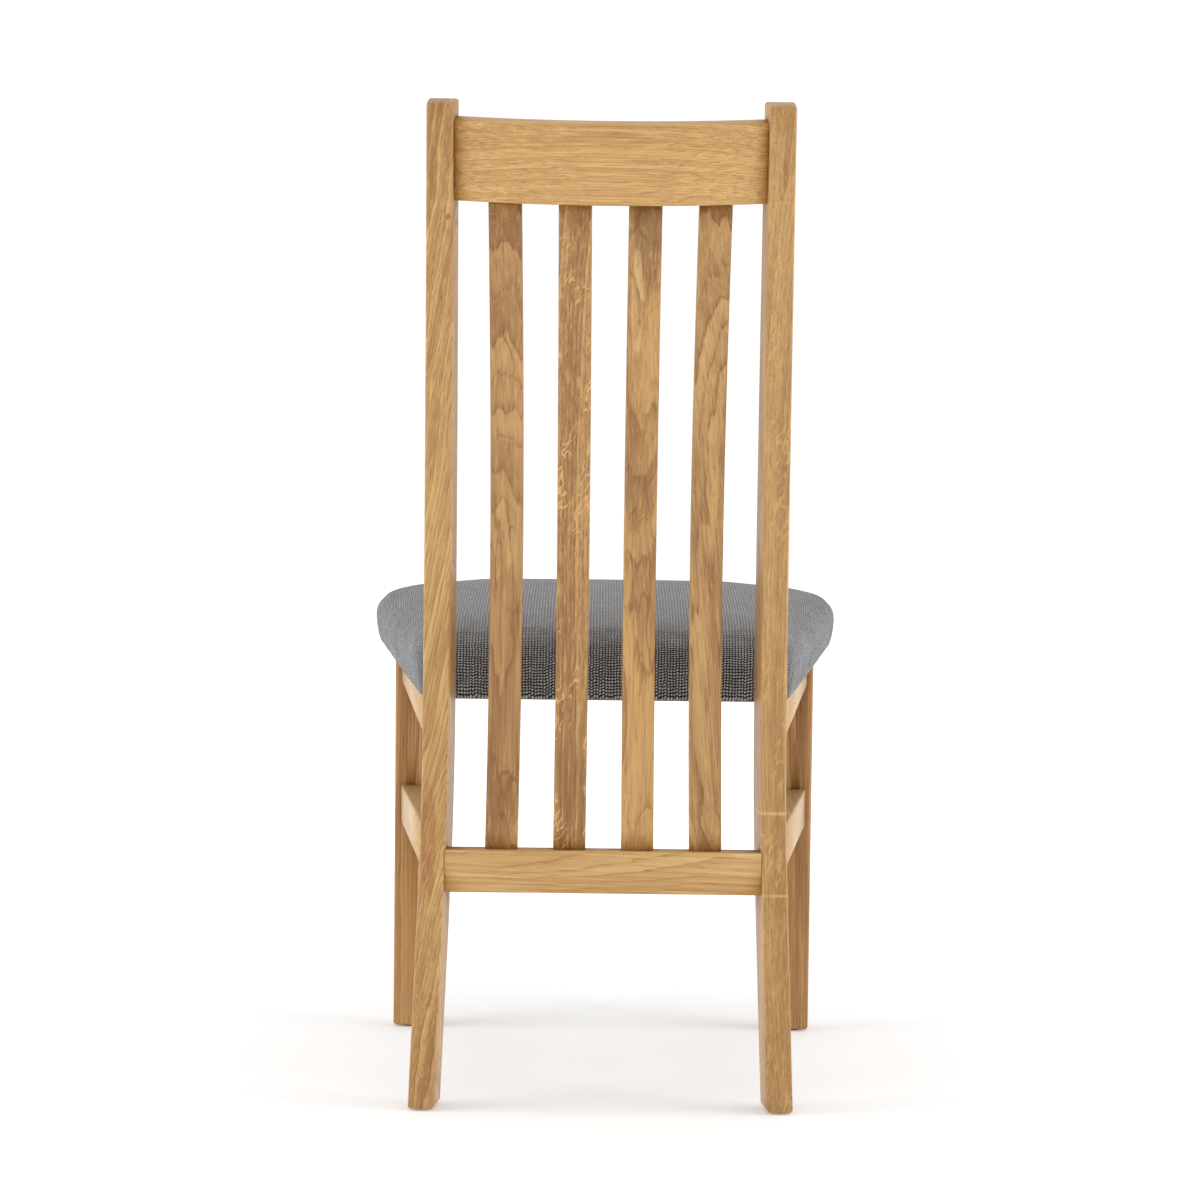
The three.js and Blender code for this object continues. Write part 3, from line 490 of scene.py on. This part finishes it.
def seat_plane():
    """Height of the underside of the seat at y = 0, and its rise per metre toward the back."""
    points = np.array([v.co for v in nodes["dust_cover"].data.vertices])
    order = np.argsort(points[:, 1])
    front = points[order[:EDGE_POINTS]]
    rear = points[order[-EDGE_POINTS:]]
    rise = (rear[:, 2].min() - front[:, 2].min()) / (rear[:, 1].mean() - front[:, 1].mean())
    return front[:, 2].min() - rise * front[:, 1].mean() - PLANE_BELOW, rise


SEAT_Z, SEAT_RISE = seat_plane()

# heights are measured from the seat's underside, all in metres
PAD_SHOULDER, PAD_FADE, HEM_INSET = 0.072, 0.05, 0.012
PAD_VOXEL = 0.0045
CROWN_FROM, EASE_FACTOR, EASE_STEPS = 0.03, 0.5, 8
STUFFING_PRESSURE, CLOTH_QUALITY, SETTLE_FRAMES = 4.0, 5, 20
PAD_SWELL, PAD_SAG = 0.0018, 0.0005
PAD_FLOOR = 0.0004

# how a point's facing decides whether its cloth belongs to the top, a side or the turned-in hem
TOP_FACING, TOP_BLEND = 0.1, 0.5
UNDER_FACING = -0.6
CORNER_BLEND = 0.10
OUTLINE_STEPS = 240


def around(points):
    """Each point's offset, angle and distance from the middle of the pad in plan."""
    middle = (points.max(0)[:2] + points.min(0)[:2]) / 2
    offset = points[:, :2] - middle
    angle = np.arctan2(offset[:, 1], offset[:, 0])
    reach = np.hypot(offset[:, 0], offset[:, 1])
    return offset, angle, reach


def rim_radius(angle, reach):
    """Distance from the middle to the pad's outline in the direction of each point."""
    bins = np.linspace(-math.pi, math.pi, OUTLINE_STEPS + 1)
    index = np.clip(np.digitize(angle, bins) - 1, 0, OUTLINE_STEPS - 1)
    table = np.zeros(OUTLINE_STEPS)
    np.maximum.at(table, index, reach)
    where = (angle + math.pi) / (2 * math.pi) * OUTLINE_STEPS - 0.5
    base = np.floor(where).astype(int)
    share = where - base
    return table[base % OUTLINE_STEPS] * (1 - share) + table[(base + 1) % OUTLINE_STEPS] * share


def cloth_uv(points, normals):
    """Where each point of the stretched cloth lay on the flat cloth, in metres.

    The top keeps its plan; past the rim the cloth runs on straight down the side.
    """
    offset, angle, reach = around(points)
    rim = rim_radius(angle, reach)
    height = points[:, 2] - (SEAT_Z + SEAT_RISE * points[:, 1])
    inward = np.clip(rim - reach, 0, None)
    drop = np.clip(PAD_SHOULDER - height, 0, None)
    on_top = np.clip((normals[:, 2] - TOP_FACING) / TOP_BLEND, 0, 1)
    drop = drop * (1 - on_top * (1 - np.exp(-(inward / PAD_FADE) ** 2)))
    turned_in = np.where(normals[:, 2] < UNDER_FACING, np.clip(inward - HEM_INSET, 0, None), 0)
    run = drop + turned_in
    # measured square to the side that the cloth faces, so the threads stay parallel
    sideways = np.abs(normals[:, 0]) - np.abs(normals[:, 1])
    to_side = 1 / (1 + np.exp(-sideways / CORNER_BLEND))
    u = offset[:, 0] + np.sign(offset[:, 0]) * run * to_side
    v = offset[:, 1] + np.sign(offset[:, 1]) * run * (1 - to_side)
    return np.stack([u, v], 1)


def applied(piece, name, kind, **settings):
    """Adds a modifier, sets it and applies it."""
    modifier = piece.modifiers.new(name, kind)
    for key, value in settings.items():
        setattr(modifier, key, value)
    bpy.ops.object.modifier_apply(modifier=modifier.name)


def blow_tight(pad):
    """Lets the stuffing press the cloth outward for a few frames."""
    swell = pad.modifiers.new("stuffing", "CLOTH")
    swell.settings.use_pressure = True
    swell.settings.uniform_pressure_force = STUFFING_PRESSURE
    swell.settings.quality = CLOTH_QUALITY
    swell.settings.effector_weights.gravity = 0.0
    swell.point_cache.frame_start = 1
    swell.point_cache.frame_end = SETTLE_FRAMES
    scene = bpy.context.scene
    for step in range(1, SETTLE_FRAMES + 1):
        scene.frame_set(step)
    bpy.ops.object.modifier_apply(modifier=swell.name)
    scene.frame_set(1)


def seat_pad():
    """The stuffed seat: the cover's form, eased, blown tight and kept near where it began."""
    pad = smooth_copy("seat_cover", "seat_pad")
    bpy.ops.object.mode_set(mode="EDIT")
    bpy.ops.mesh.select_all(action="SELECT")
    bpy.ops.mesh.convex_hull()
    bpy.ops.object.mode_set(mode="OBJECT")
    applied(pad, "even_threads", "REMESH", mode="VOXEL", voxel_size=PAD_VOXEL)
    heights = [v.co.z - SEAT_Z - SEAT_RISE * v.co.y for v in pad.data.vertices]
    crown = pad.vertex_groups.new(name="crown")
    crown.add([i for i, height in enumerate(heights) if height > CROWN_FROM], 1.0, "REPLACE")
    applied(pad, "eased_shoulder", "SMOOTH", factor=EASE_FACTOR, iterations=EASE_STEPS,
            vertex_group=crown.name)
    pad.vertex_groups.clear()

    normals = np.array([v.normal for v in pad.data.vertices])
    before = np.array([v.co for v in pad.data.vertices])
    flat = cloth_uv(before, normals)
    blow_tight(pad)
    after = np.array([v.co for v in pad.data.vertices])
    outward = np.clip(np.sum((after - before) * normals, axis=1), -PAD_SAG, PAD_SWELL)
    after = before + normals * outward[:, None]
    floor_z = SEAT_Z + SEAT_RISE * after[:, 1] + PAD_FLOOR
    after[:, 2] = np.maximum(after[:, 2], floor_z)
    pad.data.vertices.foreach_set("co", after.astype(np.float32).ravel())
    pad.data.update()

    layer = pad.data.uv_layers.new(name="cloth")
    corners = np.array([loop.vertex_index for loop in pad.data.loops])
    layer.data.foreach_set("uv", flat[corners].astype(np.float32).ravel())
    applied(pad, "finer_cloth", "SUBSURF", levels=1, render_levels=1)
    bpy.ops.object.shade_smooth()
    return pad


# shifts, slants and half sizes of the weave's floats, in threads
COLUMN_SHIFT, FLOAT_SLANT, YARN_PIECE = 0.55, 0.34, 0.22
LIGHT_FLOAT, DARK_FLOAT = (0.37, 0.45), (0.36, 0.42)
FLOAT_EDGES, DARK_HEIGHT = (1.05, 0.45), 0.7
COLUMN_KEY, ROW_KEY = 3.0, 8.0


def make_weave_group():
    """A hopsack weave over flat cloth coordinates counted in threads.

    Each cell holds one slanting float of the light thread, a flatter float of the
    dark thread beside it, and open gaps at its corners.
    """
    wires, given, result = new_group(
        "hopsack_weave", {"Vector": None}, ("Height", "Light", "Dark", "Yarn"))
    u, v, _ = wires.split(given["Vector"])
    column = wires.math("FLOOR", u)
    v = wires.plus(v, wires.times(wires.chance(column), COLUMN_SHIFT))
    row = wires.math("FLOOR", v)
    in_u = wires.centred(wires.math("FRACT", u))
    in_v = wires.centred(wires.math("FRACT", v))
    beside_u = wires.centred(wires.math("FRACT", wires.plus(u, 0.5)))

    def a_float(across, along, half_size):
        half_width, half_length = half_size
        wide = wires.math("DIVIDE", across, half_width)
        long = wires.math("DIVIDE", along, half_length)
        reach = wires.vector("LENGTH", wires.join(wide, long, 0.0))
        return wires.between(reach, *FLOAT_EDGES)

    slant = wires.minus(in_u, wires.times(in_v, FLOAT_SLANT))
    light = a_float(slant, in_v, LIGHT_FLOAT)
    dark = a_float(beside_u, in_v, DARK_FLOAT)

    def thread(number, other, key):
        """A shade for each length of one thread."""
        length = wires.math("FLOOR", wires.times(other, YARN_PIECE))
        seed = wires.join(number, length, key)
        return wires.add("ShaderNodeTexWhiteNoise", {"Vector": seed}).outputs["Value"]

    yarn = wires.plus(thread(column, row, COLUMN_KEY), thread(row, column, ROW_KEY))
    yarn = wires.times(yarn, 0.5)
    height = wires.math("MAXIMUM", light, wires.times(dark, DARK_HEIGHT))
    wires.feed(result, {"Height": height, "Light": light, "Dark": dark, "Yarn": yarn})
    return wires.tree


# one thread's width along the flat cloth's two directions, and how far threads stray
THREAD_ACROSS, THREAD_ALONG = 0.0030, 0.0027
STRAY_CELLS, STRAY = 110.0, (0.0026, 0.0026, 0.0)
FUZZ_CELLS, CLOUD_CELLS, CLOUD_EDGES = 2600.0, 34.0, (0.30, 0.70)
YARN_SPREAD, FUZZ_SPREAD, CLOUD_SPREAD = 0.55, 0.25, 0.20
LIGHT_YARNS = (0.28, 0.282, 0.287), (0.80, 0.80, 0.80)
DARK_YARNS = (0.060, 0.061, 0.066), (0.150, 0.151, 0.158)
# painted shade in the weave's open gaps, and the painted light grey of the seat's top
GAP_PAINTED_SHADE, PAINTED_TOP_LIGHT_GREY = (0.012, 0.012, 0.014), (0.225, 0.225, 0.225)
# heights above the seat's underside where the top is painted lighter as painted light, and how strongly
TOP_LIGHT_EDGES, TOP_LIGHT_STRENGTH = (0.052, 0.074), 0.45
CLOTH_ROUGH, FUZZ_ROUGH, FUZZ_HEIGHT = 0.82, 0.15, 0.25
CLOTH_GLOSS = {"Specular IOR Level": 0.25, "Sheen Weight": 0.15, "Sheen Roughness": 0.4}
CLOTH_BUMP, CLOTH_BUMP_DEPTH = 0.8, 0.0006


def grey_cloth():
    """Grey hopsack, painted lighter and more even on the top of the seat as painted light."""
    material, wires, shader = new_material("grey_hopsack")
    flat = wires.add("ShaderNodeUVMap", uv_map="cloth").outputs["UV"]
    stray = wires.add("ShaderNodeTexNoise", {"Vector": flat, "Scale": STRAY_CELLS, "Detail": 2.0})
    loose = wires.vector("SUBTRACT", stray.outputs["Color"], (0.5, 0.5, 0.5))
    loose = wires.vector("MULTIPLY", loose, STRAY)
    threads = (1 / THREAD_ACROSS, 1 / THREAD_ALONG, 1.0)
    counted = wires.vector("MULTIPLY", wires.vector("ADD", flat, loose), threads)
    weave = wires.group(make_weave_group(), Vector=counted)

    place = wires.place()
    fuzz = wires.noise(place, FUZZ_CELLS, detail=2.0, rough=0.7)
    cloud = wires.noise(place, CLOUD_CELLS, detail=2.0, rough=0.6)
    cloudy = wires.times(wires.between(cloud, *CLOUD_EDGES), CLOUD_SPREAD)
    spread = wires.times(weave["Yarn"], YARN_SPREAD)
    spread = wires.plus(spread, wires.times(fuzz, FUZZ_SPREAD))
    spread = wires.plus(spread, cloudy)
    light = wires.mix(spread, *LIGHT_YARNS)
    dark = wires.mix(spread, *DARK_YARNS)
    # the open gaps between the threads are painted near black as painted shade
    body = wires.mix(weave["Dark"], GAP_PAINTED_SHADE, dark)
    body = wires.mix(weave["Light"], body, light)
    _, y, z = wires.split(place)
    level = wires.minus(z, wires.times(y, SEAT_RISE))
    # painted light: the top of the seat is mixed toward a lighter grey above a height
    painted_top_light = wires.between(level, *(SEAT_Z + height for height in TOP_LIGHT_EDGES))
    body = wires.mix(wires.times(painted_top_light, TOP_LIGHT_STRENGTH), body, PAINTED_TOP_LIGHT_GREY)

    rough = wires.plus(CLOTH_ROUGH, wires.times(fuzz, FUZZ_ROUGH))
    height = wires.plus(weave["Height"], wires.times(fuzz, FUZZ_HEIGHT))
    normal = wires.bump(height, CLOTH_BUMP, CLOTH_BUMP_DEPTH)
    wires.feed(shader, {"Base Color": body, "Roughness": rough, "Normal": normal, **CLOTH_GLOSS})
    return material


pad = seat_pad()
finish_piece(pad, grey_cloth(), "seat_cloth", "seat_cover", "seat_foam")


# ---------------------------------------------------------------- stage
WHITE = (1.0, 1.0, 1.0, 1.0)
# name: (place, point it faces, size, power)
SOFTBOXES = {
    "left_softbox": ((2.6, 0.4, 1.3), (0.0, 0.0, 0.5), (1.6, 1.8), 36.0),
    "right_softbox": ((-2.6, 0.4, 1.3), (0.0, 0.0, 0.5), (1.6, 1.8), 36.0),
    "overhead_softbox": ((0.0, 0.3, 2.9), (0.0, 0.0, 0.4), (2.0, 2.0), 6.0),
}
# light from behind the camera, from the backdrop and from above, and where each begins
CAMERA_SIDE, BACKDROP_SIDE, OVERHEAD = 0.73, 0.68, 0.05
ROOM_EDGES, OVERHEAD_EDGES = (-0.7, 0.5), (0.1, 0.9)
SEEN_BACKDROP = 1.05
FLOOR_RADIUS, FLOOR_SIDES = 9.0, 96
FLOOR_LOOK = {"Base Color": (0.82, 0.82, 0.82, 1.0), "Roughness": 0.7,
              "Specular IOR Level": 0.2, "Emission Color": WHITE}
FLOOR_GLOW, FLOOR_FAR_GLOW, FLOOR_FAR_EDGES = 0.20, 0.36, (0.35, 2.0)


def area_light(name, place, aim, size, power):
    data = bpy.data.lights.new(name, "AREA")
    data.shape = "RECTANGLE"
    data.size, data.size_y = size
    data.energy = power
    lamp = bpy.data.objects.new(name, data)
    bpy.context.scene.collection.objects.link(lamp)
    lamp.location = place
    lamp.rotation_mode = "QUATERNION"
    lamp.rotation_quaternion = (Vector(aim) - Vector(place)).to_track_quat("-Z", "Y")


def studio_world():
    """A backdrop in front of the chair, a slightly brighter room behind it, both lighter overhead."""
    world = bpy.data.worlds.new("studio")
    bpy.context.scene.world = world
    world.use_nodes = True
    wires = Wiring(world.node_tree)
    _, y, z = wires.split(wires.place("Generated"))
    room = wires.between(y, *ROOM_EDGES, soft=False)
    strength = wires.blend(room, BACKDROP_SIDE, CAMERA_SIDE)
    above = wires.times(wires.between(z, *OVERHEAD_EDGES), OVERHEAD)
    seen = wires.add("ShaderNodeLightPath").outputs["Is Camera Ray"]
    strength = wires.blend(seen, wires.plus(strength, above), SEEN_BACKDROP)
    wires.feed(world.node_tree.nodes["Background"].inputs, {"Color": WHITE, "Strength": strength})


def studio_floor():
    """A round white floor that glows a little more away from the chair."""
    bpy.ops.object.select_all(action="DESELECT")
    bpy.ops.mesh.primitive_circle_add(vertices=FLOOR_SIDES, radius=FLOOR_RADIUS, fill_type="NGON",
                                      location=(0.0, 0.0, 0.0))
    floor = bpy.context.object
    floor.name = "studio_floor"
    material, wires, shader = new_material("lit_white_floor")
    away = wires.vector("LENGTH", wires.place())
    glow = wires.times(wires.between(away, *FLOOR_FAR_EDGES), FLOOR_FAR_GLOW)
    wires.feed(shader, {"Emission Strength": wires.plus(glow, FLOOR_GLOW), **FLOOR_LOOK})
    floor.data.materials.append(material)


def studio():
    studio_world()
    studio_floor()
    for name, (place, aim, size, power) in SOFTBOXES.items():
        area_light(name, place, aim, size, power)
    bpy.context.scene.view_settings.view_transform = "Standard"


EYE = (0.006, 3.433, 0.7506)
LOOK_DOWN, HEAD_TILT = 0.07355, 0.01135
LENS, SENSOR_WIDTH = 98.67, 36.0


def camera():
    """Stands behind the chair, a little below its top, and looks slightly down."""
    data = bpy.data.cameras.new("view")
    data.sensor_width = SENSOR_WIDTH
    data.lens = LENS
    eye = bpy.data.objects.new("view", data)
    bpy.context.scene.collection.objects.link(eye)
    turns = [(math.pi, "Z"), (math.pi / 2 - LOOK_DOWN, "X"), (HEAD_TILT, "Z")]
    eye.matrix_world = Matrix.Translation(EYE)
    for angle, axis in turns:
        eye.matrix_world = eye.matrix_world @ Matrix.Rotation(angle, 4, axis)
    bpy.context.scene.camera = eye


studio()
camera()
